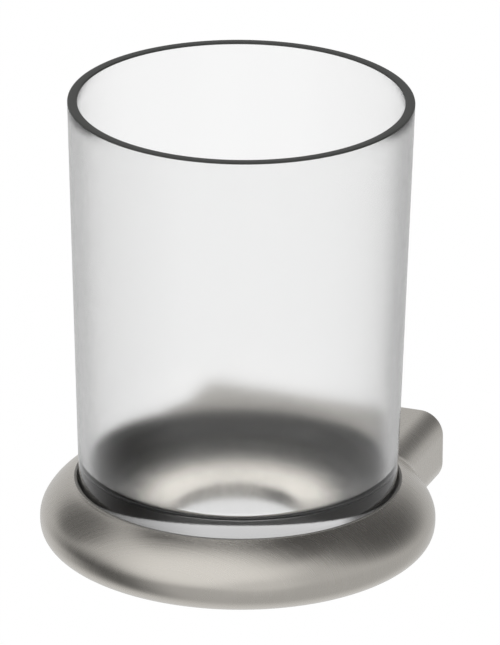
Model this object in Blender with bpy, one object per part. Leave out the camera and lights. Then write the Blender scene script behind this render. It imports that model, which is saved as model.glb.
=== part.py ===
# Wall-mounted tumbler holder
# Metres, +Z up. The origin is the centre of the face that meets the wall: the wall is the
# plane Y = 0, the holder stands out along -Y, and the mid-plane of ring and block is Z = 0.

import math

import bmesh
import bpy
from mathutils import Matrix, Vector

# Gap left between pieces that touch
SEAT_GAP = 0.0003

# Tumbler
GLASS_RIM_RADIUS = 0.035
GLASS_BASE_RADIUS = 0.0323
GLASS_HEIGHT = 0.0888
GLASS_WALL = 0.002
GLASS_BASE_THICKNESS = 0.0093
GLASS_FOOT_ROUNDING = 0.0025
GLASS_INNER_ROUNDING = 0.0025
GLASS_RIM_CHAMFER = 0.0003
GLASS_CLEARANCE = 0.0003

# Ring that carries the tumbler. It stands a little proud of the block's top and underside.
RING_WALL = 0.0066
RING_TOP_STEP = 0.0001
RING_BOTTOM_STEP = 0.00015
RING_LIP_ROUNDING = 0.0004
RING_FLAT_RADIUS = 0.014
RING_SHOULDER_RISE = 0.0032
RING_LIP_RUN = 0.0024
RING_LIP_FALL = 0.0012
RING_BELLY_DROP = 0.0031
RING_SEAT_DEPTH = 0.008
RING_LEDGE_WIDTH = 0.0097
RING_RECESS_DEPTH = 0.0046
RING_RECESS_RISE = 0.0028
RING_RECESS_CHAMFER = 0.0003
RING_HOLE_RIM = 0.0011
RING_HOLE_CHAMFER = 0.0003

# Plastic liner between tumbler and ring
LINER_WALL = 0.0006
LINER_FOOT_THICKNESS = 0.0008
LINER_FOOT_WIDTH = 0.0084

# Block between ring and wall
BLOCK_WIDTH = 0.055
BLOCK_HEIGHT = 0.0159
BLOCK_CORNER_RADIUS = 0.005
BLOCK_FILLET_RADIUS = 0.004
BLOCK_FILLET_ROOT = 0.002
BLOCK_SIDE_WALL = 0.0035
BLOCK_TOP_WALL = 0.0025
BLOCK_WEB = 0.0025
BLOCK_CAVITY_CORNER = 0.0025

# Plate that is screwed to the wall, inside the block
PLATE_CLEARANCE = 0.0005
PLATE_THICKNESS = 0.0045
PLATE_FRONT_ROOM = 0.0007
PLATE_HOLE_DIAMETER = 0.0043
PLATE_SINK_DIAMETER = 0.0082
PLATE_HOLE_SPACING = 0.030

# Grub screw from below, which holds the block on the plate
CLAMP_DIAMETER = 0.003
CLAMP_LENGTH = 0.004
CLAMP_OFFSET = 0.00035
CLAMP_RECESS = 0.0001
CLAMP_SOCKET_WIDTH = 0.0015
CLAMP_SOCKET_DEPTH = 0.0018

# Two socket screws from the block's hollow into the ring, with split washers
SCREW_INSET = 0.005
SCREW_DIAMETER = 0.003
SCREW_THREAD_DEPTH = 0.00584
SCREW_HEAD_DIAMETER = 0.0055
SCREW_HEAD_HEIGHT = 0.003
SCREW_HEAD_DEPTH = 0.0001
SCREW_SOCKET_WIDTH = 0.0025
SCREW_SOCKET_DEPTH = 0.0013
SCREW_TIP_CHAMFER = 0.0004
WASHER_WIDTH = 0.0009
WASHER_THICKNESS = 0.0008
WASHER_SPLIT = 0.0005

# Facets of round pieces
TURN_STEPS = 64
SMALL_TURN_STEPS = 24
CORNER_STEPS = 6
CURVE_STEPS = 8
FILLET_STEPS = 5
BLOCK_FACET = 0.004
BALL_MOVES = 80
SHARP_ANGLE = math.radians(35)

# Heights, worked out from the sizes above
RING_TOP = BLOCK_HEIGHT / 2 + RING_TOP_STEP
RING_BOTTOM = BLOCK_HEIGHT / 2 + RING_BOTTOM_STEP
SEAT_Z = RING_TOP - RING_SEAT_DEPTH
LINER_BASE_Z = SEAT_Z + SEAT_GAP
GLASS_BASE_Z = LINER_BASE_Z + LINER_FOOT_THICKNESS + SEAT_GAP
CLAMP_BASE_Z = -BLOCK_HEIGHT / 2 + CLAMP_RECESS

# Radii about the tumbler's axis. The bore fits the tumbler where it passes the lip.
LIP_SHARE = (RING_TOP - GLASS_BASE_Z) / GLASS_HEIGHT
GLASS_LIP_RADIUS = GLASS_BASE_RADIUS + (GLASS_RIM_RADIUS - GLASS_BASE_RADIUS) * LIP_SHARE
LINER_RADIUS = max(GLASS_BASE_RADIUS, GLASS_LIP_RADIUS) + GLASS_CLEARANCE + LINER_WALL
RING_BORE_RADIUS = LINER_RADIUS + SEAT_GAP
RING_RADIUS = RING_BORE_RADIUS + RING_WALL
RING_RECESS_RADIUS = RING_BORE_RADIUS - RING_LEDGE_WIDTH
RING_HOLE_RADIUS = RING_FLAT_RADIUS - RING_HOLE_RIM
LIP_RADIUS = RING_BORE_RADIUS + RING_LIP_ROUNDING

# Depths from the wall and widths inside the block
BLOCK_CAVITY_DEPTH = PLATE_THICKNESS + PLATE_FRONT_ROOM
REACH = RING_RADIUS + BLOCK_WEB + BLOCK_CAVITY_DEPTH
CAVITY_WIDTH = BLOCK_WIDTH - 2 * BLOCK_SIDE_WALL
CAVITY_HEIGHT = BLOCK_HEIGHT - 2 * BLOCK_TOP_WALL
PLATE_WIDTH = CAVITY_WIDTH - 2 * PLATE_CLEARANCE
PLATE_HEIGHT = CAVITY_HEIGHT - 2 * PLATE_CLEARANCE
CLAMP_SETBACK = PLATE_THICKNESS / 2 + CLAMP_OFFSET

# Joint screws, whose heads lie just under the floor of the block's hollow
SCREW_X = CAVITY_WIDTH / 2 - SCREW_INSET
SCREW_SEAT_Y = -(BLOCK_CAVITY_DEPTH + SCREW_HEAD_DEPTH + SCREW_HEAD_HEIGHT)
SCREW_TIP_Y = -REACH + math.sqrt(RING_RADIUS ** 2 - SCREW_X ** 2) - SCREW_THREAD_DEPTH
SCREW_LENGTH = SCREW_SEAT_Y - SCREW_TIP_Y
SHANK_HOLE_RADIUS = SCREW_DIAMETER / 2 + SEAT_GAP
WASHER_RADIUS = SHANK_HOLE_RADIUS + WASHER_WIDTH
WASHER_SEAT_Y = SCREW_SEAT_Y - SEAT_GAP - WASHER_THICKNESS


def clear_scene():
    for item in list(bpy.data.objects):
        bpy.data.objects.remove(item, do_unlink=True)


def make_material(name, colour, roughness, metallic, transmission=0.0):
    material = bpy.data.materials.new(name)
    material.use_nodes = True
    shader = material.node_tree.nodes["Principled BSDF"]
    shader.inputs["Base Color"].default_value = (*colour, 1.0)
    shader.inputs["Roughness"].default_value = roughness
    shader.inputs["Metallic"].default_value = metallic
    shader.inputs["Transmission Weight"].default_value = transmission
    return material


def add_object(name, bm, place=None, material=None):
    bmesh.ops.recalc_face_normals(bm, faces=bm.faces)
    mesh = bpy.data.meshes.new(name)
    bm.to_mesh(mesh)
    bm.free()
    mesh.shade_smooth()
    mesh.set_sharp_from_angle(angle=SHARP_ANGLE)
    item = bpy.data.objects.new(name, mesh)
    bpy.context.scene.collection.objects.link(item)
    if place is not None:
        item.matrix_world = place
    if material is not None:
        mesh.materials.append(material)
    return item


def cut(item, cutter):
    cutter.hide_render = True
    cutter.display_type = "WIRE"
    boolean = item.modifiers.new("cut " + cutter.name, "BOOLEAN")
    boolean.operation = "DIFFERENCE"
    boolean.solver = "EXACT"
    boolean.object = cutter


def arc(centre_r, centre_z, radius, start, end, steps):
    points = []
    for step in range(steps + 1):
        angle = math.radians(start + (end - start) * step / steps)
        points.append((centre_r + radius * math.cos(angle), centre_z + radius * math.sin(angle)))
    return points


def curve(points, steps):
    # A cubic curve through the first and last point, drawn towards the two in the middle
    first, towards_first, towards_last, last = points
    result = []
    for step in range(steps + 1):
        t = step / steps
        weights = ((1 - t) ** 3, 3 * t * (1 - t) ** 2, 3 * t * t * (1 - t), t ** 3)
        corners = (first, towards_first, towards_last, last)
        result.append(tuple(sum(w * c[axis] for w, c in zip(weights, corners)) for axis in (0, 1)))
    return result


def turned(outline, steps):
    # A solid of revolution about Z. The outline is closed by the axis or by itself.
    bm = bmesh.new()
    verts = [bm.verts.new((r, 0.0, z)) for r, z in outline]
    edges = [bm.edges.new(pair) for pair in zip(verts, verts[1:])]
    if outline[0][0] > 0.0:
        edges.append(bm.edges.new((verts[-1], verts[0])))
    bmesh.ops.spin(bm, geom=verts + edges, cent=(0, 0, 0), axis=(0, 0, 1), angle=math.tau, steps=steps)
    bmesh.ops.remove_doubles(bm, verts=bm.verts, dist=1e-7)
    return bm


def rounded_rectangle(width, height, radius):
    points = []
    centres = ((1, 1, 0), (-1, 1, 90), (-1, -1, 180), (1, -1, 270))
    for side_x, side_z, start in centres:
        centre_x = side_x * (width / 2 - radius)
        centre_z = side_z * (height / 2 - radius)
        points += arc(centre_x, centre_z, radius, start, start + 90, CORNER_STEPS)
    return points


def lofted(rows, pole=None):
    # Each row is a closed line of points. The last row closes flat, or towards the pole.
    bm = bmesh.new()
    rings = [[bm.verts.new(point) for point in row] for row in rows]
    count = len(rings[0])
    for near, far in zip(rings, rings[1:]):
        for index in range(count):
            after = (index + 1) % count
            bm.faces.new((near[index], near[after], far[after], far[index]))
    bm.faces.new(rings[0])
    if pole is None:
        bm.faces.new(rings[-1])
        return bm
    tip = bm.verts.new(pole)
    for index in range(count):
        bm.faces.new((rings[-1][index], rings[-1][(index + 1) % count], tip))
    return bm


def prism(outline, y_from, y_to):
    return lofted([[(x, y, z) for x, z in outline] for y in (y_from, y_to)])


def hexagon(across_flats):
    return arc(0.0, 0.0, across_flats / math.sqrt(3), 0, 300, 5)


def at(x=0.0, y=0.0, z=0.0):
    return Matrix.Translation((x, y, z))


def along_y(x, y, z):
    # Turns a piece made about Z so that its +Z end points to the wall
    return at(x, y, z) @ Matrix.Rotation(math.radians(-90), 4, "X")


def glass_outer_radius(height):
    share = height / GLASS_HEIGHT
    return GLASS_BASE_RADIUS + (GLASS_RIM_RADIUS - GLASS_BASE_RADIUS) * share


def tumbler_outline():
    foot_centre_radius = GLASS_BASE_RADIUS - GLASS_FOOT_ROUNDING
    foot = arc(foot_centre_radius, GLASS_FOOT_ROUNDING, GLASS_FOOT_ROUNDING, -90, 0, CORNER_STEPS)
    inner_floor_radius = glass_outer_radius(GLASS_BASE_THICKNESS) - GLASS_WALL
    inner = arc(
        inner_floor_radius - GLASS_INNER_ROUNDING,
        GLASS_BASE_THICKNESS + GLASS_INNER_ROUNDING,
        GLASS_INNER_ROUNDING,
        0,
        -90,
        CORNER_STEPS,
    )
    rim_inner_radius = GLASS_RIM_RADIUS - GLASS_WALL
    rim = [
        (GLASS_RIM_RADIUS, GLASS_HEIGHT - GLASS_RIM_CHAMFER),
        (GLASS_RIM_RADIUS - GLASS_RIM_CHAMFER, GLASS_HEIGHT),
        (rim_inner_radius + GLASS_RIM_CHAMFER, GLASS_HEIGHT),
        (rim_inner_radius, GLASS_HEIGHT - GLASS_RIM_CHAMFER),
    ]
    outline = [(0.0, 0.0)] + foot + rim + inner + [(0.0, GLASS_BASE_THICKNESS)]
    return [(r, GLASS_BASE_Z + z) for r, z in outline]


def build_tumbler():
    material = make_material("frosted_glass", (0.90, 0.94, 0.93), 0.35, 0.0, transmission=1.0)
    return add_object("tumbler", turned(tumbler_outline(), TURN_STEPS), at(y=-REACH), material)


def build_seat_liner():
    inner_radius = LINER_RADIUS - LINER_WALL
    foot_radius = LINER_RADIUS - LINER_FOOT_WIDTH
    foot_z = LINER_BASE_Z + LINER_FOOT_THICKNESS
    outline = [
        (foot_radius, LINER_BASE_Z),
        (LINER_RADIUS, LINER_BASE_Z),
        (LINER_RADIUS, RING_TOP),
        (inner_radius, RING_TOP),
        (inner_radius, foot_z),
        (foot_radius, foot_z),
    ]
    material = make_material("dark_plastic", (0.06, 0.056, 0.048), 0.5, 0.0)
    return add_object("seat_liner", turned(outline, TURN_STEPS), at(y=-REACH), material)


def ring_outside(extra=0.0, steps=CURVE_STEPS):
    # The ring's outer curve, from the lip over the shoulder and under the belly to the flat
    radius = RING_RADIUS + extra
    top_z = RING_TOP + extra
    bottom_z = -RING_BOTTOM - extra
    shoulder = [
        (LIP_RADIUS, top_z),
        (LIP_RADIUS + RING_LIP_RUN, top_z - RING_LIP_FALL),
        (radius, RING_SHOULDER_RISE),
        (radius, 0.0),
    ]
    belly = [(radius, 0.0), (radius, -RING_BELLY_DROP), (radius, bottom_z), (RING_FLAT_RADIUS, bottom_z)]
    return curve(shoulder, steps) + curve(belly, steps)[1:]


def ring_outline():
    lip = arc(LIP_RADIUS, RING_TOP - RING_LIP_ROUNDING, RING_LIP_ROUNDING, 180, 90, 2)
    recess_z = SEAT_Z - RING_RECESS_DEPTH
    hole_edge = RING_HOLE_RADIUS + RING_HOLE_CHAMFER
    seat = [
        (RING_HOLE_RADIUS, -RING_BOTTOM + RING_HOLE_CHAMFER),
        (RING_HOLE_RADIUS, recess_z - RING_HOLE_CHAMFER),
        (hole_edge, recess_z),
        (RING_RECESS_RADIUS, recess_z + RING_RECESS_RISE),
        (RING_RECESS_RADIUS, SEAT_Z - RING_RECESS_CHAMFER),
        (RING_RECESS_RADIUS + RING_RECESS_CHAMFER, SEAT_Z),
        (RING_BORE_RADIUS, SEAT_Z),
    ]
    return seat + lip + ring_outside()[1:] + [(hole_edge, -RING_BOTTOM)]


def screw_hole(name, x):
    # A round cutter along Y, from past the screw's tip to the wall
    bottom_y = SCREW_TIP_Y - SEAT_GAP
    outline = [(0.0, 0.0), (SHANK_HOLE_RADIUS, 0.0), (SHANK_HOLE_RADIUS, -bottom_y), (0.0, -bottom_y)]
    return add_object(name, turned(outline, SMALL_TURN_STEPS), along_y(x, bottom_y, 0.0))


def build_holder_ring():
    material = make_material("brushed_nickel_ring", (0.60, 0.58, 0.54), 0.32, 1.0)
    ring = add_object("holder_ring", turned(ring_outline(), TURN_STEPS), at(y=-REACH), material)
    for side in (-1, 1):
        cut(ring, screw_hole("ring_thread_%d" % side, side * SCREW_X))
    return ring


def nearest_on_ring(section, radius, z):
    # Distance to the ring's outer section, and the direction away from it
    nearest = None
    for (start_r, start_z), (end_r, end_z) in zip(section, section[1:]):
        run = end_r - start_r
        rise = end_z - start_z
        share = ((radius - start_r) * run + (z - start_z) * rise) / (run ** 2 + rise ** 2)
        share = max(0.0, min(1.0, share))
        away = (radius - start_r - run * share, z - start_z - rise * share)
        distance = math.hypot(*away)
        if nearest is None or distance < nearest[0]:
            nearest = (distance, away[0] / distance, away[1] / distance)
    return nearest


def block_outline():
    # The rounded rectangle, with points along its straight sides too
    corners = rounded_rectangle(BLOCK_WIDTH, BLOCK_HEIGHT, BLOCK_CORNER_RADIUS)
    outline = []
    for (x, z), (next_x, next_z) in zip(corners, corners[1:] + corners[:1]):
        steps = math.ceil(math.hypot(next_x - x, next_z - z) / BLOCK_FACET)
        for step in range(steps):
            share = step / steps
            outline.append((x + (next_x - x) * share, z + (next_z - z) * share))
    return outline


def block_side(x, z):
    # Direction out of the block's side at a point of its outline
    core_x = BLOCK_WIDTH / 2 - BLOCK_CORNER_RADIUS
    core_z = BLOCK_HEIGHT / 2 - BLOCK_CORNER_RADIUS
    out_x = (x - max(-core_x, min(core_x, x))) / BLOCK_CORNER_RADIUS
    out_z = (z - max(-core_z, min(core_z, z))) / BLOCK_CORNER_RADIUS
    return Vector((out_x, 0.0, out_z))


def fillet_line(section, x, z):
    # A ball that rolls along the block's side until it meets the ring leaves this line of points
    side = block_side(x, z)
    ball = Vector((x, 0.0, z)) + side * BLOCK_FILLET_RADIUS
    for _ in range(BALL_MOVES):
        radius = math.hypot(ball.x, ball.y + REACH)
        distance, out_r, out_z = nearest_on_ring(section, radius, ball.z)
        ball.y = max(ball.y - distance + BLOCK_FILLET_RADIUS, -REACH)
    radius = math.hypot(ball.x, ball.y + REACH)
    away = Vector((out_r * ball.x / radius, out_r * (ball.y + REACH) / radius, out_z))
    line = []
    for step in range(FILLET_STEPS + 1):
        line.append(ball - side.slerp(away, step / FILLET_STEPS) * BLOCK_FILLET_RADIUS)
    line.append(line[-1] - away * BLOCK_FILLET_ROOT)
    return line


def block_rows():
    # The outline at the wall, then the rows of the fillet, which ends inside the ring
    section = [(0.0, RING_TOP)] + ring_outside(steps=4 * CURVE_STEPS) + [(0.0, -RING_BOTTOM)]
    outline = block_outline()
    lines = [[(x, 0.0, z)] + fillet_line(section, x, z) for x, z in outline]
    return list(zip(*lines))


def ring_space():
    # What the ring takes up, with the gap, and the well over it, as one turned solid
    well = [(0.0, BLOCK_HEIGHT), (LIP_RADIUS, BLOCK_HEIGHT)]
    return well + ring_outside(SEAT_GAP) + [(0.0, -RING_BOTTOM - SEAT_GAP)]


def screw_space():
    # Shank hole and counterbore as one turned cutter, measured from the ring's side
    head_radius = max(SCREW_HEAD_DIAMETER / 2, WASHER_RADIUS) + SEAT_GAP
    bearing = REACH + WASHER_SEAT_Y - SEAT_GAP
    mouth = REACH - BLOCK_CAVITY_DEPTH / 2
    shank = [(0.0, 0.0), (SHANK_HOLE_RADIUS, 0.0), (SHANK_HOLE_RADIUS, bearing)]
    return shank + [(head_radius, bearing), (head_radius, mouth), (0.0, mouth)]


def build_wall_block():
    material = make_material("brushed_nickel_block", (0.60, 0.58, 0.54), 0.32, 1.0)
    ring_centre = (0.0, -REACH, 0.0)
    block = add_object("wall_block", lofted(block_rows(), ring_centre), None, material)
    cut(block, add_object("ring_space", turned(ring_space(), TURN_STEPS), at(y=-REACH)))
    cavity = rounded_rectangle(CAVITY_WIDTH, CAVITY_HEIGHT, BLOCK_CAVITY_CORNER)
    cut(block, add_object("plate_space", prism(cavity, BLOCK_CAVITY_DEPTH, -BLOCK_CAVITY_DEPTH)))
    for side in (-1, 1):
        place = along_y(side * SCREW_X, -REACH, 0.0)
        cut(block, add_object("screw_space_%d" % side, turned(screw_space(), SMALL_TURN_STEPS), place))
    clamp_radius = CLAMP_DIAMETER / 2 + SEAT_GAP
    clamp_top = -CAVITY_HEIGHT / 2 + BLOCK_TOP_WALL
    clamp = [(0.0, -BLOCK_HEIGHT), (clamp_radius, -BLOCK_HEIGHT), (clamp_radius, clamp_top), (0.0, clamp_top)]
    cut(block, add_object("clamp_thread", turned(clamp, SMALL_TURN_STEPS), at(y=-CLAMP_SETBACK)))
    return block


def build_wall_plate():
    material = make_material("plate_steel", (0.55, 0.56, 0.57), 0.35, 1.0)
    corner = BLOCK_CAVITY_CORNER - PLATE_CLEARANCE
    outline = rounded_rectangle(PLATE_WIDTH, PLATE_HEIGHT, corner)
    plate = add_object("wall_plate", prism(outline, 0.0, -PLATE_THICKNESS), None, material)
    hole_radius = PLATE_HOLE_DIAMETER / 2
    sink_radius = PLATE_SINK_DIAMETER / 2
    sink_depth = sink_radius - hole_radius
    hole = [
        (0.0, -PLATE_THICKNESS),
        (sink_radius + PLATE_THICKNESS, -PLATE_THICKNESS),
        (hole_radius, sink_depth),
        (hole_radius, 2 * PLATE_THICKNESS),
        (0.0, 2 * PLATE_THICKNESS),
    ]
    for side in (-1, 1):
        place = along_y(side * PLATE_HOLE_SPACING / 2, -PLATE_THICKNESS, 0.0)
        cut(plate, add_object("plate_hole_%d" % side, turned(hole, SMALL_TURN_STEPS), place))
    pocket_tip = CLAMP_BASE_Z + CLAMP_LENGTH + SEAT_GAP * math.sqrt(2)
    pocket_depth = pocket_tip + BLOCK_HEIGHT / 2
    pocket = [(0.0, pocket_tip - pocket_depth), (pocket_depth, pocket_tip - pocket_depth), (0.0, pocket_tip)]
    cut(plate, add_object("clamp_pocket", turned(pocket, SMALL_TURN_STEPS), at(y=-CLAMP_SETBACK)))
    return plate


def socket_cutter(name, width, depth, z_from, place):
    outline = hexagon(width)
    bm = bmesh.new()
    lower = [bm.verts.new((x, y, z_from)) for x, y in outline]
    upper = [bm.verts.new((x, y, z_from + depth)) for x, y in outline]
    bm.faces.new(lower)
    bm.faces.new(upper)
    for index in range(len(outline)):
        after = (index + 1) % len(outline)
        bm.faces.new((lower[index], lower[after], upper[after], upper[index]))
    return add_object(name, bm, place)


def build_clamp_screw():
    material = make_material("clamp_steel", (0.50, 0.51, 0.52), 0.3, 1.0)
    radius = CLAMP_DIAMETER / 2
    outline = [
        (0.0, 0.0),
        (radius - SCREW_TIP_CHAMFER, 0.0),
        (radius, SCREW_TIP_CHAMFER),
        (radius, CLAMP_LENGTH - radius),
        (0.0, CLAMP_LENGTH),
    ]
    place = at(y=-CLAMP_SETBACK, z=CLAMP_BASE_Z)
    screw = add_object("clamp_screw", turned(outline, SMALL_TURN_STEPS), place, material)
    depth = 2 * CLAMP_SOCKET_DEPTH
    cut(screw, socket_cutter("clamp_socket", CLAMP_SOCKET_WIDTH, depth, -CLAMP_SOCKET_DEPTH, place))
    return screw


def build_joint_screw(name, x):
    material = make_material(name + "_steel", (0.52, 0.53, 0.54), 0.3, 1.0)
    radius = SCREW_DIAMETER / 2
    head_radius = SCREW_HEAD_DIAMETER / 2
    outline = [
        (0.0, -SCREW_LENGTH),
        (radius - SCREW_TIP_CHAMFER, -SCREW_LENGTH),
        (radius, SCREW_TIP_CHAMFER - SCREW_LENGTH),
        (radius, 0.0),
        (head_radius, 0.0),
        (head_radius, SCREW_HEAD_HEIGHT - SCREW_TIP_CHAMFER),
        (head_radius - SCREW_TIP_CHAMFER, SCREW_HEAD_HEIGHT),
        (0.0, SCREW_HEAD_HEIGHT),
    ]
    place = along_y(x, SCREW_SEAT_Y, 0.0)
    screw = add_object(name, turned(outline, SMALL_TURN_STEPS), place, material)
    start = SCREW_HEAD_HEIGHT - SCREW_SOCKET_DEPTH
    cut(screw, socket_cutter(name + "_socket", SCREW_SOCKET_WIDTH, 2 * SCREW_SOCKET_DEPTH, start, place))
    return screw


def build_lock_washer(name, x):
    material = make_material(name + "_steel", (0.45, 0.45, 0.46), 0.35, 1.0)
    outline = [
        (SHANK_HOLE_RADIUS, 0.0),
        (WASHER_RADIUS, 0.0),
        (WASHER_RADIUS, WASHER_THICKNESS),
        (SHANK_HOLE_RADIUS, WASHER_THICKNESS),
    ]
    washer = add_object(name, turned(outline, SMALL_TURN_STEPS), along_y(x, WASHER_SEAT_Y, 0.0), material)
    half_split = WASHER_SPLIT / 2
    slot_top = 2 * WASHER_RADIUS
    slot = [(-half_split, 0.0), (half_split, 0.0), (half_split, slot_top), (-half_split, slot_top)]
    slot_mesh = prism(slot, -WASHER_THICKNESS, 2 * WASHER_THICKNESS)
    cut(washer, add_object(name + "_slot", slot_mesh, at(x=x, y=WASHER_SEAT_Y)))
    return washer


def main():
    clear_scene()
    build_tumbler()
    build_seat_liner()
    build_holder_ring()
    build_wall_block()
    build_wall_plate()
    build_clamp_screw()
    for side, label in ((-1, "left"), (1, "right")):
        x = side * SCREW_X
        build_joint_screw("joint_screw_" + label, x)
        build_lock_washer("lock_washer_" + label, x)


main()
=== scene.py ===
# Wall-mounted tumbler holder: frosted glass in a brushed ring, on a short block

import math

import bpy
import numpy as np
from mathutils import Matrix, Vector


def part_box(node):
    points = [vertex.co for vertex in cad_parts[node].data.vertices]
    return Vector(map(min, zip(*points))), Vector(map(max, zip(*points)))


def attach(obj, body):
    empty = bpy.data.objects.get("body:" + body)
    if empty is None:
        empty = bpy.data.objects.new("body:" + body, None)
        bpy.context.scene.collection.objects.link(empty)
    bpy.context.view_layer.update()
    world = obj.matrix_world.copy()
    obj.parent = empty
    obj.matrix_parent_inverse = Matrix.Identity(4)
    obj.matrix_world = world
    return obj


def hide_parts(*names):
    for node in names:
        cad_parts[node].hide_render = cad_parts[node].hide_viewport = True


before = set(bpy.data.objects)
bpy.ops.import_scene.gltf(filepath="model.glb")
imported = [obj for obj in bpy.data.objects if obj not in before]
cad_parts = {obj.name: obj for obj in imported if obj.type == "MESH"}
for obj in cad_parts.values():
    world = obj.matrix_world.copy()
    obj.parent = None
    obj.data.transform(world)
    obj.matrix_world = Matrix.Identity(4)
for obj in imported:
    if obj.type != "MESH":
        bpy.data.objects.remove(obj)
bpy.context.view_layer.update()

mm = 0.001
merging = 0.002 * mm                       # points closer than this become one
near = 0.02 * mm                           # and closer than this they count as level
ringLow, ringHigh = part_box("holder_ring")
glassLow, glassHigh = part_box("tumbler")
axisY = (glassLow.y + glassHigh.y) / 2     # the tumbler's axis stands here, at x = 0
ringRadius = (ringHigh.x - ringLow.x) / 2


# Modelling helpers

def deselectAll():
    if bpy.context.mode != "OBJECT":
        bpy.ops.object.mode_set(mode="OBJECT")
    bpy.ops.object.select_all(action="DESELECT")


def pick(piece):
    deselectAll()
    piece.select_set(True)
    bpy.context.view_layer.objects.active = piece


def editAll(piece):
    pick(piece)
    bpy.ops.object.mode_set(mode="EDIT")
    bpy.ops.mesh.select_all(action="SELECT")


def settle(piece, smoothAngle=40):
    # The place goes into the mesh, and the round parts are shaded smooth
    pick(piece)
    bpy.ops.object.transform_apply(location=True, rotation=True, scale=True)
    bpy.ops.object.shade_smooth_by_angle(angle=math.radians(smoothAngle))
    return piece


def arcPoints(centreR, centreZ, radius, start, end, steps):
    # Angles in degrees, from the outward direction up
    angles = [math.radians(start + (end - start) * i / steps) for i in range(steps + 1)]
    return [(centreR + radius * math.cos(a), centreZ + radius * math.sin(a)) for a in angles]


def curvePoints(first, towardsFirst, towardsLast, last, steps):
    # A curve with two handles, as in a Bezier spline
    points = []
    for i in range(steps + 1):
        t = i / steps
        weights = ((1 - t) ** 3, 3 * t * (1 - t) ** 2, 3 * t * t * (1 - t), t ** 3)
        corners = (first, towardsFirst, towardsLast, last)
        points.append(tuple(sum(w * c[k] for w, c in zip(weights, corners)) for k in (0, 1)))
    return points


def linePoints(first, last, steps):
    # The points between two ends, without the ends
    shares = [i / steps for i in range(1, steps)]
    return [tuple(a + (b - a) * share for a, b in zip(first, last)) for share in shares]


def lathe(name, outline, steps, centre=None, closed=False):
    # A vertex is extruded along the half section, which is then spun about an upright axis
    centre = centre or (0, axisY, 0)
    deselectAll()
    startR, startZ = outline[0]
    place = (centre[0] + startR, centre[1], centre[2] + startZ)
    bpy.ops.mesh.primitive_plane_add(size=mm, location=place)
    piece = bpy.context.object
    piece.name = name
    bpy.ops.object.mode_set(mode="EDIT")
    bpy.ops.mesh.select_mode(type="VERT")
    bpy.ops.mesh.select_all(action="SELECT")
    bpy.ops.mesh.merge(type="CENTER")
    stops = outline + outline[:1] if closed else outline
    for (r, z), (nextR, nextZ) in zip(stops, stops[1:]):
        bpy.ops.mesh.extrude_region_move(TRANSFORM_OT_translate={"value": (nextR - r, 0, nextZ - z)})
    bpy.ops.mesh.select_all(action="SELECT")
    bpy.ops.mesh.spin(steps=steps, angle=math.tau, center=centre, axis=(0, 0, 1))
    bpy.ops.mesh.select_all(action="SELECT")
    bpy.ops.mesh.remove_doubles(threshold=merging)
    bpy.ops.mesh.normals_make_consistent(inside=False)
    bpy.ops.object.mode_set(mode="OBJECT")
    bpy.ops.object.transform_apply(location=True, rotation=True, scale=True)
    return piece


def cutAway(piece, cutter):
    # Takes the cutter out of the piece for good
    pick(piece)
    boolean = piece.modifiers.new("cut", "BOOLEAN")
    boolean.operation = "DIFFERENCE"
    boolean.solver = "EXACT"
    boolean.object = cutter
    bpy.ops.object.modifier_apply(modifier=boolean.name)
    bpy.data.objects.remove(cutter, do_unlink=True)


def tipToWall(piece, place):
    # Turns a piece that was made upright at the origin so that its top end faces the wall
    pick(piece)
    piece.rotation_euler = (math.radians(-90), 0, 0)
    piece.location = place
    bpy.ops.object.transform_apply(location=True, rotation=True, scale=True)
    return piece


def roundedBox(name, low, high, corner, segments):
    # A box with the four edges rounded that run towards the wall
    deselectAll()
    bpy.ops.mesh.primitive_cube_add(size=1, location=[(a + b) / 2 for a, b in zip(low, high)])
    box = bpy.context.object
    box.name = name
    box.scale = [b - a for a, b in zip(low, high)]
    bpy.ops.object.transform_apply(location=True, rotation=True, scale=True)
    editAll(box)
    bpy.ops.mesh.select_mode(type="EDGE")
    bpy.ops.mesh.select_all(action="DESELECT")
    bpy.ops.object.mode_set(mode="OBJECT")
    for edge in box.data.edges:
        a, b = (box.data.vertices[i].co for i in edge.vertices)
        edge.select = abs(a.y - b.y) > near
    bpy.ops.object.mode_set(mode="EDIT")
    bpy.ops.mesh.bevel(offset=corner, segments=segments, profile=0.5)
    bpy.ops.object.mode_set(mode="OBJECT")
    return box


def softenEdges(piece, width):
    # A narrow bevel along every sharp edge
    pick(piece)
    bevel = piece.modifiers.new("edges", "BEVEL")
    bevel.width = width
    bevel.segments = 2
    bevel.limit_method = "ANGLE"
    bevel.angle_limit = math.radians(40)
    bpy.ops.object.modifier_apply(modifier=bevel.name)


# Shader helpers

class Wire:
    # A socket that adds, multiplies and compares like a number
    def __init__(self, tree, socket):
        self.tree = tree
        self.socket = socket

    def math(self, operation, *values):
        node = self.tree.nodes.new("ShaderNodeMath")
        node.operation = operation
        for socketIn, value in zip(node.inputs, values):
            plug(self.tree, socketIn, value)
        return Wire(self.tree, node.outputs[0])

    def __add__(self, other):
        return self.math("ADD", self, other)

    def __radd__(self, other):
        return self.math("ADD", other, self)

    def __sub__(self, other):
        return self.math("SUBTRACT", self, other)

    def __rsub__(self, other):
        return self.math("SUBTRACT", other, self)

    def __mul__(self, other):
        return self.math("MULTIPLY", self, other)

    def __rmul__(self, other):
        return self.math("MULTIPLY", other, self)

    def __pow__(self, other):
        return self.math("POWER", self, other)

    def __gt__(self, other):
        return self.math("GREATER_THAN", self, other)

    def __lt__(self, other):
        return self.math("LESS_THAN", self, other)

    def larger(self, other):
        return self.math("MAXIMUM", self, other)


def plug(tree, socketIn, value):
    if isinstance(value, Wire):
        tree.links.new(value.socket, socketIn)
    else:
        socketIn.default_value = value


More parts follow.
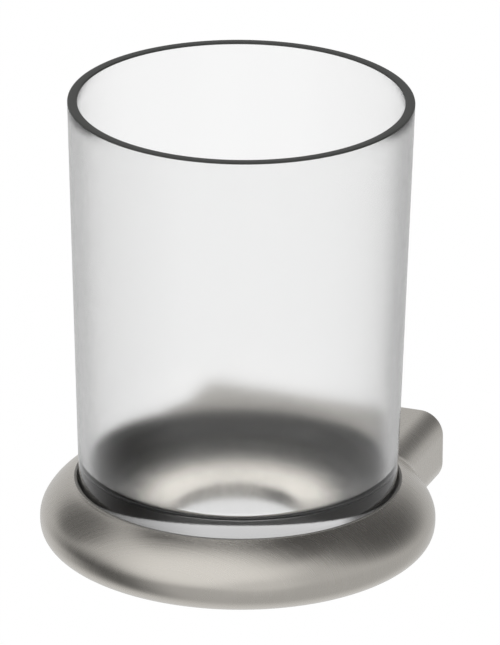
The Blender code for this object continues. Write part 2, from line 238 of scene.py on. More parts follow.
class Shader:
    # The node tree of one material, or of the world
    def __init__(self, owner):
        owner.use_nodes = True
        self.tree = owner.node_tree
        self.tree.nodes.clear()

    def add(self, kind, settings=None, inputs=None, output=0):
        node = self.tree.nodes.new(kind)
        for key, value in (settings or {}).items():
            setattr(node, key, value)
        for key, value in (inputs or {}).items():
            plug(self.tree, node.inputs[key], value)
        return Wire(self.tree, node.outputs[output])

    def split(self, vector):
        node = self.add("ShaderNodeSeparateXYZ", None, {"Vector": vector}).socket.node
        return [Wire(self.tree, node.outputs[k]) for k in range(3)]

    def join(self, x, y, z):
        return self.add("ShaderNodeCombineXYZ", None, {"X": x, "Y": y, "Z": z})

    def smooth(self, value, low, high):
        # 0 below low, 1 above high, soft between
        settings = {"interpolation_type": "SMOOTHSTEP"}
        return self.add("ShaderNodeMapRange", settings, {"Value": value, "From Min": low, "From Max": high})

    def mixColour(self, factor, a, b):
        # Each colour is red, green and blue, or a socket. Inputs 6 and 7 are the node's colours.
        inputs = {0: factor}
        for key, colour in ((6, a), (7, b)):
            inputs[key] = colour if isinstance(colour, Wire) else (*colour, 1)
        return self.add("ShaderNodeMix", {"data_type": "RGBA"}, inputs, 2)

    def noise(self, vector, scale, detail=2.0, rough=0.5):
        inputs = {"Vector": vector, "Scale": scale, "Detail": detail, "Roughness": rough}
        return self.add("ShaderNodeTexNoise", None, inputs)

    def bump(self, height, strength, distance):
        inputs = {"Strength": strength, "Distance": distance, "Height": height}
        return self.add("ShaderNodeBump", None, inputs)

    def finish(self, surface, kind="ShaderNodeOutputMaterial"):
        node = self.tree.nodes.new(kind)
        plug(self.tree, node.inputs["Surface"], surface)


def place(s):
    return s.add("ShaderNodeTexCoord", None, None, "Object")


def distanceFromAxis(x, y):
    return (x * x + (y - axisY) * (y - axisY)) ** 0.5


def dress(piece, material):
    piece.data.materials.clear()
    piece.data.materials.append(material)
    return piece


# Tumbler

glass = {
    "rimRadius": 35 * mm,
    "baseRadius": 32.3 * mm,
    "wall": 2 * mm,
    "baseThickness": 9.6 * mm,
    "footRounding": 2.5 * mm,
    "innerRounding": 2.5 * mm,
    "rimEdge": 0.3 * mm,
    "flatInset": 3 * mm,         # one more row of points, this far inside each rounding
    "wallRows": 24,
    "footSteps": 10,
    "insideSteps": 16,
    "rimSteps": 4,
    "steps": 160,
    "frostFrom": 13.8 * mm,      # height where the frosting ends, above the ring's middle
    "frostFade": 0.2 * mm,
    "frostRoughness": 0.18,
    "roughnessSpread": 0.03,
    "grainScale": 2600,
    "cloudScale": 60,
    "bumpDepth": 0.02 * mm,
    "clearTint": (0.988, 0.988, 0.988),
    "frostTint": (0.974, 0.976, 0.975),
    "rimBand": 0.32 * mm,        # the polished rim is painted near black this far down, as painted shade
    "rimScale": 1500,
    "rimRoughness": 0.35,
    "rimShadeDark": (0.072, 0.074, 0.071),
    "rimShadePale": (0.088, 0.09, 0.086),
}


def buildTumbler():
    height = glassHigh.z - glassLow.z
    lean = (glass["rimRadius"] - glass["baseRadius"]) / height
    foot = glass["footRounding"]
    inside = glass["innerRounding"]
    floorZ = glass["baseThickness"]
    innerR = glass["baseRadius"] + lean * floorZ - glass["wall"]
    rimR = glass["rimRadius"]
    rimIn = rimR - glass["wall"]
    edge = glass["rimEdge"]
    inset = glass["flatInset"]
    outline = [(0, 0), (glass["baseRadius"] - foot - inset, 0)]
    outline += arcPoints(glass["baseRadius"] - foot, foot, foot, -90, 0, glass["footSteps"])
    rim = arcPoints(rimR - edge, height - edge, edge, 0, 90, glass["rimSteps"])
    rim += arcPoints(rimIn + edge, height - edge, edge, 90, 180, glass["rimSteps"])
    corner = arcPoints(innerR - inside, floorZ + inside, inside, 0, -90, glass["insideSteps"])
    outline += linePoints(outline[-1], rim[0], glass["wallRows"]) + rim
    outline += linePoints(rim[-1], corner[0], glass["wallRows"]) + corner
    outline += [(innerR - inside - inset, floorZ), (0, floorZ)]
    outline = [(r, glassLow.z + z) for r, z in outline]
    return settle(lathe("frosted_tumbler", outline, glass["steps"]))


def frostedGlass():
    material = bpy.data.materials.new("satin frosted glass")
    s = Shader(material)
    here = place(s)
    x, y, z = s.split(here)
    fromAxis = distanceFromAxis(x, y)
    lean = (glass["rimRadius"] - glass["baseRadius"]) / (glassHigh.z - glassLow.z)
    wallMiddle = glass["baseRadius"] - glass["wall"] / 2 + (z - glassLow.z) * lean
    outside = fromAxis > wallMiddle
    fade = glass["frostFade"]
    frost = outside * s.smooth(z, glass["frostFrom"] - fade, glass["frostFrom"] + fade)
    grain = s.noise(here, glass["grainScale"], 3.0)
    cloud = s.noise(here, glass["cloudScale"])
    spread = glass["roughnessSpread"]
    roughness = frost * (glass["frostRoughness"] + spread * (cloud - 0.5) + spread * (grain - 0.5))
    tint = s.mixColour(frost, glass["clearTint"], glass["frostTint"])
    body = s.add("ShaderNodeBsdfPrincipled", None, {
        "Base Color": tint, "Roughness": roughness, "Transmission Weight": 1.0, "IOR": 1.5,
        "Normal": s.bump(grain, 0.1, glass["bumpDepth"])})
    # Painted shade: an opaque, near black band along the top of the glass rim
    rimGrain = s.noise(here, glass["rimScale"])
    rimShadeColour = s.mixColour(rimGrain, glass["rimShadeDark"], glass["rimShadePale"])
    rim = s.add("ShaderNodeBsdfPrincipled", None, {
        "Base Color": rimShadeColour, "Roughness": glass["rimRoughness"] + 0.1 * rimGrain, "IOR": 1.45,
        "Specular IOR Level": 0.2})
    onRim = z > glassHigh.z - glass["rimBand"]
    s.finish(s.add("ShaderNodeMixShader", None, {0: onRim, 1: body, 2: rim}))
    return material


# Ring

ring = {
    "bore": 33.7 * mm,
    "lip": 33.25 * mm,           # the lip closes over the liner, towards the glass
    "lipRise": 0.4 * mm,
    "lipRounding": 0.4 * mm,
    "lipThickness": 1.3 * mm,
    "lipRun": 3.1 * mm,
    "lipFall": 1.5 * mm,
    "shoulderRise": 3.3 * mm,
    "bellyDrop": 3.1 * mm,
    "flat": 14 * mm,
    "seatDepth": 8 * mm,
    "recess": 24 * mm,
    "recessDepth": 4.6 * mm,
    "recessRise": 2.8 * mm,      # the floor falls this much towards its hole
    "floorAngle": 15,            # degrees that the floor leans at its two ends
    "drainHole": 12.9 * mm,
    "edge": 0.3 * mm,
    "ledgeInset": 0.5 * mm,      # one more row of points on the ledge, this far inside the bore
    "screwHole": 1.8 * mm,
    "screwX": 19 * mm,
    "screwEnd": 18.6 * mm,       # how far from the wall the screw holes reach
    "drillPoint": 0.8 * mm,
    "screwHoleSteps": 32,
    "steps": 192,
    "curveSteps": 28,
    "cornerSteps": 4,
    "boreCornerSteps": 3,
    "lipSteps": 12,
    "smoothAngle": 50,
}


def ringOutside(steps, extra=0.0):
    # Half section of the ring's outside, from the lip over the shoulder to the flat underside
    radius = ringRadius + extra
    top = ringHigh.z + ring["lipRise"] + extra
    bottom = ringLow.z - extra
    lip = ring["lip"]
    towardsLip = (lip + ring["lipRun"], top - ring["lipFall"])
    shoulder = curvePoints((lip, top), towardsLip, (radius, ring["shoulderRise"]), (radius, 0), steps)
    towardsFlat = (radius, bottom)
    belly = curvePoints((radius, 0), (radius, -ring["bellyDrop"]), towardsFlat, (ring["flat"], bottom), steps)
    return shoulder + belly[1:]


def buildRing():
    seat = ringHigh.z - ring["seatDepth"]
    floor = seat - ring["recessDepth"]
    edge = ring["edge"]
    leans = ring["floorAngle"]
    lipAngle = 90 - math.degrees(math.atan2(ring["lipFall"], ring["lipRun"]))
    hole = ring["drainHole"]
    recess = ring["recess"]
    foot = floor + ring["recessRise"]
    steps = ring["cornerSteps"]
    outline = arcPoints(hole + edge, ringLow.z + edge, edge, 270, 180, steps)
    outline += arcPoints(hole + edge, floor - edge, edge, 180, 90 + leans, steps)
    outline += arcPoints(recess - edge, foot + edge, edge, leans - 90, 0, steps)
    outline += arcPoints(recess + edge, seat - edge, edge, 180, 90, steps)
    outline += [(ring["bore"] - ring["ledgeInset"], seat)]
    outline += arcPoints(ring["bore"] - edge, seat + edge, edge, -90, 0, ring["boreCornerSteps"])
    lipZ = ringHigh.z + ring["lipRise"] - ring["lipRounding"]
    outline += [(ring["bore"], lipZ - ring["lipThickness"])]
    outline += arcPoints(ring["lip"], lipZ, ring["lipRounding"], 225, lipAngle, ring["lipSteps"])
    outline += ringOutside(ring["curveSteps"])[1:]
    piece = lathe("brushed_ring", outline, ring["steps"], closed=True)
    tip = ring["screwEnd"]
    thread = [(0, -ring["drillPoint"]), (ring["screwHole"], 0), (ring["screwHole"], tip), (0, tip)]
    for side in (-1, 1):
        cutter = lathe("thread_hole", thread, ring["screwHoleSteps"], (0, 0, 0))
        cutAway(piece, tipToWall(cutter, (side * ring["screwX"], -tip, 0)))
    return settle(piece, ring["smoothAngle"])


# Liner

liner = {
    "wall": 0.6 * mm,
    "foot": 8.4 * mm,
    "footThickness": 0.8 * mm,
    "overLip": 0.5 * mm,         # its upper edge shows this far above the plain ring's top
    "edge": 0.12 * mm,
    "cornerSteps": 3,
    "steps": 160,
    "greyFrom": 1.5 * mm,        # its colour turns from dark to grey between these heights, as painted shade low in the seat
    "greyFull": 4.5 * mm,
    "dark": (0.03, 0.027, 0.02),
    "grey": (0.3, 0.29, 0.27),
    "grainScale": 1500,
    "bumpDepth": 0.02 * mm,
}


def buildLiner():
    low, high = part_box("seat_liner")
    radius = high.x
    inner = radius - liner["wall"]
    footIn = radius - liner["foot"]
    footTop = low.z + liner["footThickness"]
    edge = liner["edge"]
    outline = [(footIn, low.z), (radius - edge, low.z), (radius, low.z + edge)]
    top = high.z + liner["overLip"] - edge
    steps = liner["cornerSteps"]
    outline += arcPoints(radius - edge, top, edge, 0, 90, steps)
    outline += arcPoints(inner + edge, top, edge, 90, 180, steps)
    outline += arcPoints(inner - 2 * edge, footTop + 2 * edge, 2 * edge, 0, -90, steps)
    outline += [(footIn + edge, footTop), (footIn, footTop - edge)]
    return settle(lathe("painted_shade_liner", outline, liner["steps"], closed=True))


def linerPlastic():
    material = bpy.data.materials.new("liner plastic with painted shade")
    s = Shader(material)
    here = place(s)
    grain = s.noise(here, liner["grainScale"])
    # Painted shade: the liner is near black low in the seat and turns grey towards its top edge
    height = s.split(here)[2]
    grey = s.smooth(height, liner["greyFrom"], liner["greyFull"])
    colour = s.mixColour(grey + 0.06 * grain, liner["dark"], liner["grey"])
    s.finish(s.add("ShaderNodeBsdfPrincipled", None, {
        "Base Color": colour, "Roughness": 0.45 + 0.1 * grain, "IOR": 1.46,
        "Normal": s.bump(grain, 0.1, liner["bumpDepth"])}))
    return material


# Block

block = {
    "width": 55 * mm,
    "height": 15.9 * mm,
    "corner": 5 * mm,
    "cornerSteps": 14,
    "fillet": 4 * mm,
    "facet": 1.2 * mm,           # the straight sides are divided about this finely
    "filletSteps": 14,
    "ballMoves": 90,             # moves in which the ball settles against the ring
    "sectionSteps": 64,          # how finely the ball feels the ring's curves
    "root": 1.2 * mm,            # one more row of points, this deep inside the ring
    "sunk": 0.3 * mm,            # how far the fillet's end lies inside the ring
    "spaceCurveSteps": 48,       # the ring's shape, as it is cut out of the block
    "spaceSteps": 144,
    "cavityWidth": 48 * mm,
    "cavityHeight": 10.9 * mm,
    "cavityDepth": 5.2 * mm,
    "cavityCorner": 2.5 * mm,
    "cavitySteps": 8,
    "headHole": 3.05 * mm,
    "headHoleEnd": 9.7 * mm,     # from the wall to the floor under the screw's washer
    "clampHole": 1.8 * mm,
    "clampHoleDepth": 4 * mm,
    "holeEdge": 0.25 * mm,
    "screwHoleSteps": 40,
    "clampHoleSteps": 48,
}


def blockOutline():
    # The rounded rectangle, evenly divided
    points = []
    r = block["corner"]
    for sx, sz, start in ((1, 1, 0), (-1, 1, 90), (-1, -1, 180), (1, -1, 270)):
        centre = (sx * (block["width"] / 2 - r), sz * (block["height"] / 2 - r))
        points += arcPoints(*centre, r, start, start + 90, block["cornerSteps"])
    outline = []
    for first, last in zip(points, points[1:] + points[:1]):
        steps = max(1, round(math.dist(first, last) / block["facet"]))
        outline += [first] + linePoints(first, last, steps)
    return outline


def filletLines():
    # A ball is rolled along the block's outline until it touches the ring, and leaves the fillet
    outside = ringOutside(block["sectionSteps"])
    section = np.array([(0.0, outside[0][1])] + outside + [(0.0, ringLow.z)])
    start = section[:-1]
    run = section[1:] - start
    length = (run ** 2).sum(axis=1)
    r = block["corner"]
    coreX = block["width"] / 2 - r
    coreZ = block["height"] / 2 - r
    fillet = block["fillet"]

    def away(radius, z):
        offset = np.array((radius, z)) - start
        share = np.clip((offset * run).sum(axis=1) / length, 0, 1)
        offset = offset - run * share[:, None]
        distance = np.hypot(offset[:, 0], offset[:, 1])
        best = distance.argmin()
        return distance[best], offset[best] / distance[best]

    lines = []
    for x, z in blockOutline():
        side = Vector(((x - max(-coreX, min(coreX, x))) / r, 0, (z - max(-coreZ, min(coreZ, z))) / r))
        ball = Vector((x, 0, z)) + side * fillet
        for _ in range(block["ballMoves"]):
            distance, out = away(math.hypot(ball.x, ball.y - axisY), ball.z)
            ball.y = max(ball.y - distance + fillet, axisY)
        radius = math.hypot(ball.x, ball.y - axisY)
        out = Vector((out[0] * ball.x / radius, out[0] * (ball.y - axisY) / radius, out[1]))
        line = [Vector((x, 0, z))]
        for i in range(block["filletSteps"] + 1):
            line.append(ball - side.slerp(out, i / block["filletSteps"]) * fillet)
        line.append(line[-1] - out * block["root"])
        lines.append(line)
    return lines


def buildBlock():
    # No tool makes this rolled fillet, so its rows of points become a mesh here
    lines = filletLines()
    rows = list(zip(*lines))
    count = len(lines)
    verts = [point for row in rows for point in row] + [Vector((0, axisY, 0))]
    faces = [tuple(range(count))]
    for row in range(len(rows) - 1):
        low = row * count
        high = low + count
        faces += [(low + i, low + (i + 1) % count, high + (i + 1) % count, high + i) for i in range(count)]
    last = (len(rows) - 1) * count
    faces += [(last + i, last + (i + 1) % count, len(verts) - 1) for i in range(count)]
    mesh = bpy.data.meshes.new("brushed_block")
    mesh.from_pydata(verts, [], faces)
    piece = bpy.data.objects.new("brushed_block", mesh)
    bpy.context.scene.collection.objects.link(piece)
    editAll(piece)
    bpy.ops.mesh.normals_make_consistent(inside=False)
    deselectAll()

    sunk = block["sunk"]
    wellR = ring["lip"] - sunk / 2
    space = [(0, block["height"]), (wellR, block["height"])]
    space += ringOutside(block["spaceCurveSteps"], -sunk)[1:] + [(0, ringLow.z + sunk)]
    cutAway(piece, lathe("ring_space", space, block["spaceSteps"]))

    half = (block["cavityWidth"] / 2, block["cavityDepth"], block["cavityHeight"] / 2)
    low = [-size for size in half]
    cutAway(piece, roundedBox("plate_space", low, half, block["cavityCorner"], block["cavitySteps"]))
    cutScrewHoles(piece)
    cutClampHole(piece)
    return settle(piece)


def cutScrewHoles(piece):
    headR = block["headHole"]
    shankR = ring["screwHole"]
    edge = block["holeEdge"]
    bearing = -axisY - block["headHoleEnd"]          # measured from the tumbler's axis
    mouth = -axisY - block["cavityDepth"]
    outline = [(0, 0), (shankR, 0), (shankR, bearing), (headR, bearing), (headR, mouth - edge)]
    outline += [(headR + 3 * edge, mouth + 2 * edge), (0, mouth + 2 * edge)]
    for side in (-1, 1):
        cutter = lathe("screw_space", outline, block["screwHoleSteps"], (0, 0, 0))
        cutAway(piece, tipToWall(cutter, (side * ring["screwX"], axisY, 0)))


def cutClampHole(piece):
    low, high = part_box("clamp_screw")
    centre = ((low.x + high.x) / 2, (low.y + high.y) / 2, -block["height"] / 2)
    r = block["clampHole"]
    edge = block["holeEdge"]
    depth = block["clampHoleDepth"]
    outline = [(0, -2 * edge), (r + 3 * edge, -2 * edge), (r, edge), (r, depth), (0, depth)]
    cutAway(piece, lathe("clamp_space", outline, block["clampHoleSteps"], centre))


# Brushed nickel, on ring and block

nickel = {
    "dark": (0.595, 0.568, 0.518),
    "pale": (0.675, 0.644, 0.6),
    "roughness": 0.27,
    "strokeStretch": 0.04,       # the strokes lie level along the wall, one pattern for both pieces
    "strokeScale": 2500,
    "coarseScale": 700,
    "cloudScale": 90,
    "strokeBump": 0.35,
    "bumpDepth": 0.03 * mm,
    "inside": 0.13,              # share of its colour that the ring's inside keeps as painted shade, fitted to the photo
    "insideFrom": 16 * mm,       # distances from the axis between which that comes in
    "insideFull": 23.2 * mm,
    "insideMargin": 0.1 * mm,    # it reaches this far past the bore
    "insideTop": 0.9 * mm,       # and lies between these depths under the ring's top
    "insideBottom": 13 * mm,
}


def brushedNickel():
    material = bpy.data.materials.new("brushed nickel")
    s = Shader(material)
    here = place(s)
    x, y, z = s.split(here)
    along = nickel["strokeStretch"]
    strokes = s.join(x * along, y, z * along)
    fine = s.noise(strokes, nickel["strokeScale"], 3.0, 0.6)
    coarse = s.noise(strokes, nickel["coarseScale"], rough=0.55)
    cloud = s.noise(here, nickel["cloudScale"])
    fromAxis = distanceFromAxis(x, y)
    # Painted shade: the ring's inside, below the lip and from the bore in towards the hole, is darkened
    inside = s.smooth(fromAxis, nickel["insideFrom"], nickel["insideFull"])
    inside = inside * (fromAxis < ring["bore"] + nickel["insideMargin"])
    inside = inside * (z < ringHigh.z - nickel["insideTop"]) * (z > ringHigh.z - nickel["insideBottom"])
    tone = 0.5 * fine + 0.3 * coarse + 0.2 * cloud
    shadedTones = [tuple(nickel["inside"] * level for level in nickel[key]) for key in ("dark", "pale")]
    bare = s.mixColour(tone, nickel["dark"], nickel["pale"])
    colour = s.mixColour(inside, bare, s.mixColour(tone, *shadedTones))
    roughness = nickel["roughness"] + 0.08 * (fine - 0.5) + 0.06 * (coarse - 0.5) + 0.03 * (cloud - 0.5)
    s.finish(s.add("ShaderNodeBsdfPrincipled", None, {
        "Base Color": colour, "Metallic": 1.0, "Roughness": roughness,
        "Normal": s.bump(fine + 0.6 * coarse, nickel["strokeBump"], nickel["bumpDepth"])}))
    return material


# Wall plate

plate = {
    "corner": 2 * mm,
    "edge": 0.3 * mm,
    "hole": 2.15 * mm,
    "holeEdge": 0.2 * mm,
    "sink": 4.1 * mm,
    "holeX": 15 * mm,
    "past": 1 * mm,              # how far the hole's cutter stands out of the plate's front
    "pocketTip": -3.43 * mm,
    "pocket": 3.2 * mm,
    "cornerSteps": 8,
    "holeSteps": 48,
    "pocketSteps": 40,
}


def buildPlate():
    low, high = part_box("wall_plate")
    piece = roundedBox("wall_plate_steel", low, high, plate["corner"], plate["cornerSteps"])
    softenEdges(piece, plate["edge"])
    thickness = high.y - low.y
    hole = plate["hole"]
    sink = plate["sink"]
    edge = plate["holeEdge"]
    past = plate["past"]
    end = thickness + 2 * edge
    outline = [(0, -past), (sink + edge + past, -past), (sink, edge), (hole, sink - hole + edge)]
    outline += [(hole, thickness - edge), (hole + 3 * edge, end), (0, end)]
    for side in (-1, 1):
        cutter = lathe("plate_hole", outline, plate["holeSteps"], (0, 0, 0))
        cutAway(piece, tipToWall(cutter, (side * plate["holeX"], low.y, 0)))
    clampLow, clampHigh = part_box("clamp_screw")
    centre = (0, (clampLow.y + clampHigh.y) / 2, plate["pocketTip"])
    pocket = plate["pocket"]
    cone = [(0, -pocket), (pocket, -pocket), (0, 0)]
    cutAway(piece, lathe("clamp_pocket", cone, plate["pocketSteps"], centre))
    return settle(piece)


# Screws and washers

screw = {
    "pitch": 0.5 * mm,
    "threadDepth": 0.28 * mm,
    "clampSocket": 1.5 * mm,
    "clampSocketDepth": 1.8 * mm,
    "headHeight": 3 * mm,
    "headEdge": 0.4 * mm,
    "socket": 2.5 * mm,
    "socketDepth": 1.3 * mm,
    "past": 1 * mm,              # how far a socket's cutter stands out
    "shank": 1.5 * mm,
    "threadEnd": 1.2 * mm,       # from the head down
    "neck": 0.9 * mm,
    "underHead": 0.15 * mm,
    "tipEdge": 0.4 * mm,
    "tipStep": 0.1 * mm,
    "pointStep": 0.3 * mm,
    "knurlDepth": 0.12 * mm,
    "steps": 48,
    "headSteps": 96,
    "smoothAngle": 35,
}


def threadPoints(radius, low, high):
    # The turns of a thread as grooves, from low to high
    turns = int((high - low) / screw["pitch"])
    root = radius - screw["threadDepth"]
    points = []
    for turn in range(turns):
        z = low + turn * screw["pitch"]
        points += [(root, z), (radius, z + 0.4 * screw["pitch"]), (radius, z + 0.6 * screw["pitch"])]
    return points + [(root, low + turns * screw["pitch"])]


def socketCutter(width, low, high):
    # The shape of a hexagonal key
    deselectAll()
    radius = width / math.sqrt(3)
    bpy.ops.mesh.primitive_cylinder_add(
        vertices=6, radius=radius, depth=high - low, location=(0, 0, (low + high) / 2))
    cutter = bpy.context.object
    pick(cutter)
    bpy.ops.object.transform_apply(location=True, rotation=True, scale=True)
    return cutter


def buildClampScrew():
    low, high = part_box("clamp_screw")
    radius = (high.x - low.x) / 2
    length = high.z - low.z
    tip = screw["tipEdge"]
    point = screw["pointStep"]
    outline = [(0, 0), (radius - tip, 0), (radius - screw["tipStep"], tip * 0.8)]
    outline += threadPoints(radius, tip, length - radius)
    outline += [(radius - point, length - radius + point), (0, length)]
    piece = lathe("clamp_screw_steel", outline, screw["steps"], (0, 0, 0))
    cutAway(piece, socketCutter(screw["clampSocket"], -screw["past"], screw["clampSocketDepth"]))
    piece.location = ((low.x + high.x) / 2, (low.y + high.y) / 2, low.z)
    return settle(piece, screw["smoothAngle"])


def buildJointScrew(label):
    low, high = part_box("joint_screw_" + label)
    headR = (high.x - low.x) / 2
    radius = screw["shank"]
    headTop = screw["headHeight"]
    length = high.y - low.y - headTop
    tip = screw["tipEdge"]
    edge = screw["headEdge"]
    under = screw["underHead"]
    outline = [(0, -length), (radius - tip, -length), (radius - screw["tipStep"], tip * 0.8 - length)]
    outline += threadPoints(radius, tip - length, -screw["threadEnd"])
    outline += [(radius, -screw["neck"]), (radius, 0), (headR - under, 0), (headR, under)]
    outline += [(headR, headTop - edge)]
    outline += arcPoints(headR - edge, headTop - edge, edge, 0, 90, 4)[1:] + [(0, headTop)]
    piece = lathe("joint_screw_steel_" + label, outline, screw["headSteps"], (0, 0, 0))
    knurl(piece, headR, headTop - edge)
    start = headTop - screw["socketDepth"]
    cutAway(piece, socketCutter(screw["socket"], start, headTop + screw["past"]))
    return settle(tipToWall(piece, ((low.x + high.x) / 2, low.y + length, 0)), screw["smoothAngle"])


def knurl(piece, radius, top):
    # Every other upright line of the head is drawn in
    editAll(piece)
    bpy.ops.mesh.select_mode(type="VERT")
    bpy.ops.mesh.select_all(action="DESELECT")
    bpy.ops.object.mode_set(mode="OBJECT")
    for vertex in piece.data.vertices:
        x, y, z = vertex.co
        line = round(math.atan2(y, x) / math.tau * screw["headSteps"])
        onSide = math.hypot(x, y) > radius - near and screw["underHead"] - near < z < top + near
        vertex.select = onSide and line % 2 == 0
    bpy.ops.object.mode_set(mode="EDIT")
    share = 1 - screw["knurlDepth"] / radius
    bpy.ops.transform.resize(value=(share, share, 1), center_override=(0, 0, 0))
    bpy.ops.object.mode_set(mode="OBJECT")


washer = {
    "hole": 1.8 * mm,
    "edge": 0.12 * mm,
    "split": 0.5 * mm,
    "splitTilt": 20,             # degrees that the split leans
    "steps": 64,
    "smoothAngle": 35,
}


def buildWasher(label):
    low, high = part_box("lock_washer_" + label)
    radius = (high.x - low.x) / 2
    thickness = high.y - low.y
    edge = washer["edge"]
    outline = [(washer["hole"], edge), (washer["hole"] + edge, 0), (radius - edge, 0), (radius, edge)]
    outline += [(radius, thickness - edge), (radius - edge, thickness)]
    outline += [(washer["hole"] + edge, thickness), (washer["hole"], thickness - edge)]
    piece = lathe("lock_washer_steel_" + label, outline, washer["steps"], (0, 0, 0), closed=True)
    deselectAll()
    bpy.ops.mesh.primitive_cube_add(size=1, location=(0, -radius, thickness / 2))
    slot = bpy.context.object
    slot.scale = (washer["split"], 2 * radius, 3 * thickness)
    slot.rotation_euler = (0, math.radians(washer["splitTilt"]), 0)
    cutAway(piece, slot)
    return settle(tipToWall(piece, ((low.x + high.x) / 2, low.y, 0)), washer["smoothAngle"])


# The steels of plate, screws and washers

steels = {
    "plate": {
        "name": "zinc plated plate",
        "dark": (0.52, 0.53, 0.55),
        "pale": (0.6, 0.61, 0.62),
        "roughness": 0.4,
        "grainScale": 900,
    },
    "screw": {
        "name": "stainless screw",
        "dark": (0.49, 0.495, 0.5),
        "pale": (0.56, 0.565, 0.57),
        "roughness": 0.3,
        "grainScale": 1400,
    },
    "washer": {
        "name": "spring steel washer",
        "dark": (0.38, 0.38, 0.39),
        "pale": (0.44, 0.44, 0.45),
        "roughness": 0.38,
        "grainScale": 1400,
    },
}


def plainSteel(kind):
    steel = steels[kind]
    material = bpy.data.materials.new(steel["name"])
    s = Shader(material)
    here = place(s)
    grain = s.noise(here, steel["grainScale"], 3.0, 0.6)
    cloud = s.noise(here, steel["grainScale"] / 12)
    colour = s.mixColour(0.6 * cloud + 0.4 * grain, steel["dark"], steel["pale"])
    s.finish(s.add("ShaderNodeBsdfPrincipled", None, {
        "Base Color": colour, "Metallic": 1.0, "Roughness": steel["roughness"] + 0.1 * (grain - 0.5),
        "Normal": s.bump(grain, 0.15, 0.02 * mm)}))
    return material


# Studio

studio = {
    "cameraTurn": 20.0,          # degrees from straight in front of the wall, towards +X
    "cameraDistance": 2.1675,
    "cameraHeight": 0.9141,
    "aimHeight": 0.04216,
    "focalPixels": 11538.7,
    "axisPixel": 239.4,          # where the tumbler's axis stands in the 500 wide picture
    "roll": 0.48,
    "pictureWidth": 500,
    "pictureHeight": 645,
    "floor": -0.42,
    "floorSize": 14,
    "floorPaint": (0.9, 0.9, 0.9, 1),
    "floorGlow": 1.04,
    "floorGlowShare": 0.93,      # of the floor that the camera sees
    "lowLevel": 0.55,
    "highLevel": 0.61,
    "lowLevelUpTo": -0.35,       # the two levels of the room meet between these heights
    "highLevelFrom": 0.15,
    "mirroredFrom": 3.5,         # faces of glass that a ray has passed
    "mirroredTo": 6.5,
    "beyondFrom": 7.5,
    "dimmer": 0.85,
    "brighter": 2.4,
}

# Cards that the metal mirrors. Angles in degrees, turn counted from the camera's side, to the right
cards = {
    "ceiling": {"turn": 0, "rise": 88, "size": 33, "soft": 5, "level": 0.05},
    "right flag": {"turn": 118, "rise": 40, "size": 25, "soft": 25, "level": 0.1},
    "left flag": {"turn": -124, "rise": 28, "size": 19, "soft": 5, "level": 0.14},
    "low left flag": {"turn": -93, "rise": -25, "size": 26, "soft": 26, "level": 0.1},
    "low back card": {"turn": 195, "rise": -48, "size": 34, "soft": 33, "level": 0.79},
    "soft box": {"turn": -23, "rise": 40, "size": 39, "soft": 20, "level": 1.02},
    "low front card": {"turn": 13, "rise": 2, "size": 16, "soft": 16, "level": 0.77},
}


def lightPath(s):
    node = s.add("ShaderNodeLightPath").socket.node
    return {socket.name: Wire(s.tree, socket) for socket in node.outputs}


def setWorld():
    world = bpy.data.worlds.new("studio")
    bpy.context.scene.world = world
    s = Shader(world)
    x, y, z = s.split(s.add("ShaderNodeTexCoord", None, None, "Generated"))
    upper = s.smooth(z, studio["lowLevelUpTo"], studio["highLevelFrom"])
    level = studio["lowLevel"] + (studio["highLevel"] - studio["lowLevel"]) * upper
    for card in cards.values():
        turn = math.radians(card["turn"] + studio["cameraTurn"])
        rise = math.radians(card["rise"])
        aimX = math.sin(turn) * math.cos(rise)
        aimY = -math.cos(turn) * math.cos(rise)
        facing = x * aimX + y * aimY + z * math.sin(rise)
        inner = math.cos(math.radians(card["size"] - card["soft"]))
        outer = math.cos(math.radians(card["size"] + card["soft"]))
        level = level + s.smooth(facing, outer, inner) * (card["level"] - level)
    ray = lightPath(s)
    # The room looks white to the camera, also straight through the glass
    straight = ray["Glossy Depth"] + ray["Diffuse Depth"] < 0.5
    seen = ray["Is Camera Ray"].larger(ray["Is Transmission Ray"] * straight)
    # Mirrored in the glass the room is dimmer, and through the base again it is brighter.
    # These levels are fitted to the photo, no real room has them.
    depth = ray["Transmission Depth"]
    mirrored = ray["Is Transmission Ray"] * (depth > studio["mirroredFrom"]) * (depth < studio["mirroredTo"])
    beyond = depth > studio["beyondFrom"]
    level = level * (1 - studio["dimmer"] * mirrored)
    level = level + beyond * (studio["brighter"] - level)
    strength = level + seen * (1 - level)
    s.finish(s.add("ShaderNodeBackground", None, {"Color": (1, 1, 1, 1), "Strength": strength}),
             "ShaderNodeOutputWorld")


def setFloor():
    deselectAll()
    bpy.ops.mesh.primitive_plane_add(size=studio["floorSize"], location=(0, 0, studio["floor"]))
    floor = bpy.context.object
    floor.name = "studio_floor"
    material = bpy.data.materials.new("pale floor")
    s = Shader(material)
    ray = lightPath(s)
    seen = ray["Is Camera Ray"].larger(ray["Is Transmission Ray"])
    paint = s.add("ShaderNodeBsdfDiffuse", None, {"Color": studio["floorPaint"]})
    glow = s.add("ShaderNodeEmission", None, {"Color": (1, 1, 1, 1), "Strength": studio["floorGlow"]})
    clear = s.add("ShaderNodeBsdfTransparent")
    painted = s.add("ShaderNodeMixShader", None, {0: seen * studio["floorGlowShare"], 1: paint, 2: glow})
    s.finish(s.add("ShaderNodeMixShader", None, {0: ray["Is Glossy Ray"], 1: painted, 2: clear}))
    dress(floor, material)


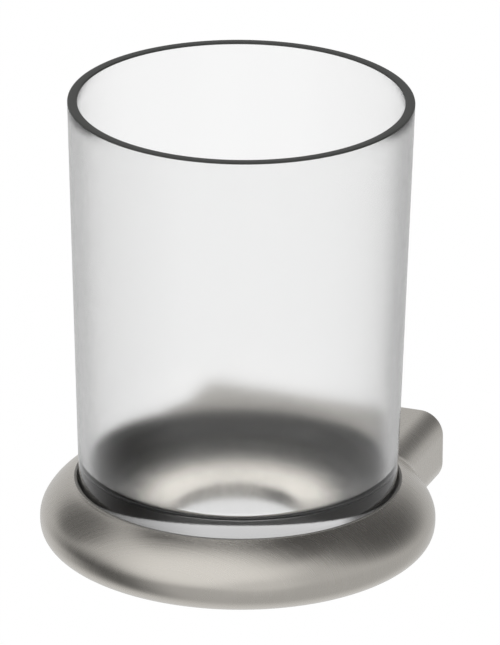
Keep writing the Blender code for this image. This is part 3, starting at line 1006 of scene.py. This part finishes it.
def setCamera():
    data = bpy.data.cameras.new("camera")
    camera = bpy.data.objects.new("camera", data)
    bpy.context.scene.collection.objects.link(camera)
    bpy.context.scene.camera = camera
    data.sensor_width = 36.0
    data.lens = studio["focalPixels"] * data.sensor_width / studio["pictureHeight"]
    data.clip_start = 0.1
    data.clip_end = 50
    turn = math.radians(studio["cameraTurn"])
    target = Vector((0, axisY, studio["aimHeight"]))
    away = Vector((math.sin(turn), -math.cos(turn), 0)) * studio["cameraDistance"]
    camera.location = Vector((away.x, axisY + away.y, studio["cameraHeight"]))
    look = (target - camera.location).to_track_quat("-Z", "Y").to_matrix()
    aside = math.atan((studio["pictureWidth"] / 2 - studio["axisPixel"]) / studio["focalPixels"])
    tilt = Matrix.Rotation(-aside, 3, "Y") @ Matrix.Rotation(math.radians(studio["roll"]), 3, "Z")
    camera.rotation_euler = (look @ tilt).to_euler()


# Assembly

print("tumbler")
tumbler = dress(buildTumbler(), frostedGlass())
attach(tumbler, "tumbler")
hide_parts("tumbler")

print("ring")
brushed = brushedNickel()
holderRing = dress(buildRing(), brushed)
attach(holderRing, "holder")
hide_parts("holder_ring")

print("block")
wallBlock = dress(buildBlock(), brushed)
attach(wallBlock, "holder")
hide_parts("wall_block")

print("liner")
seatLiner = dress(buildLiner(), linerPlastic())
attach(seatLiner, "holder")
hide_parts("seat_liner")

print("wall plate")
wallPlate = dress(buildPlate(), plainSteel("plate"))
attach(wallPlate, "holder")
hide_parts("wall_plate")

print("screws")
screwSteel = plainSteel("screw")
clampScrew = dress(buildClampScrew(), screwSteel)
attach(clampScrew, "clamp_screw")
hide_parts("clamp_screw")
for label in ("left", "right"):
    jointScrew = dress(buildJointScrew(label), screwSteel)
    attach(jointScrew, "holder")
    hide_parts("joint_screw_" + label)

print("washers")
washerSteel = plainSteel("washer")
for label in ("left", "right"):
    lockWasher = dress(buildWasher(label), washerSteel)
    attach(lockWasher, "holder")
    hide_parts("lock_washer_" + label)

print("studio")
setWorld()
setFloor()
setCamera()
bpy.context.scene.view_settings.view_transform = "Standard"
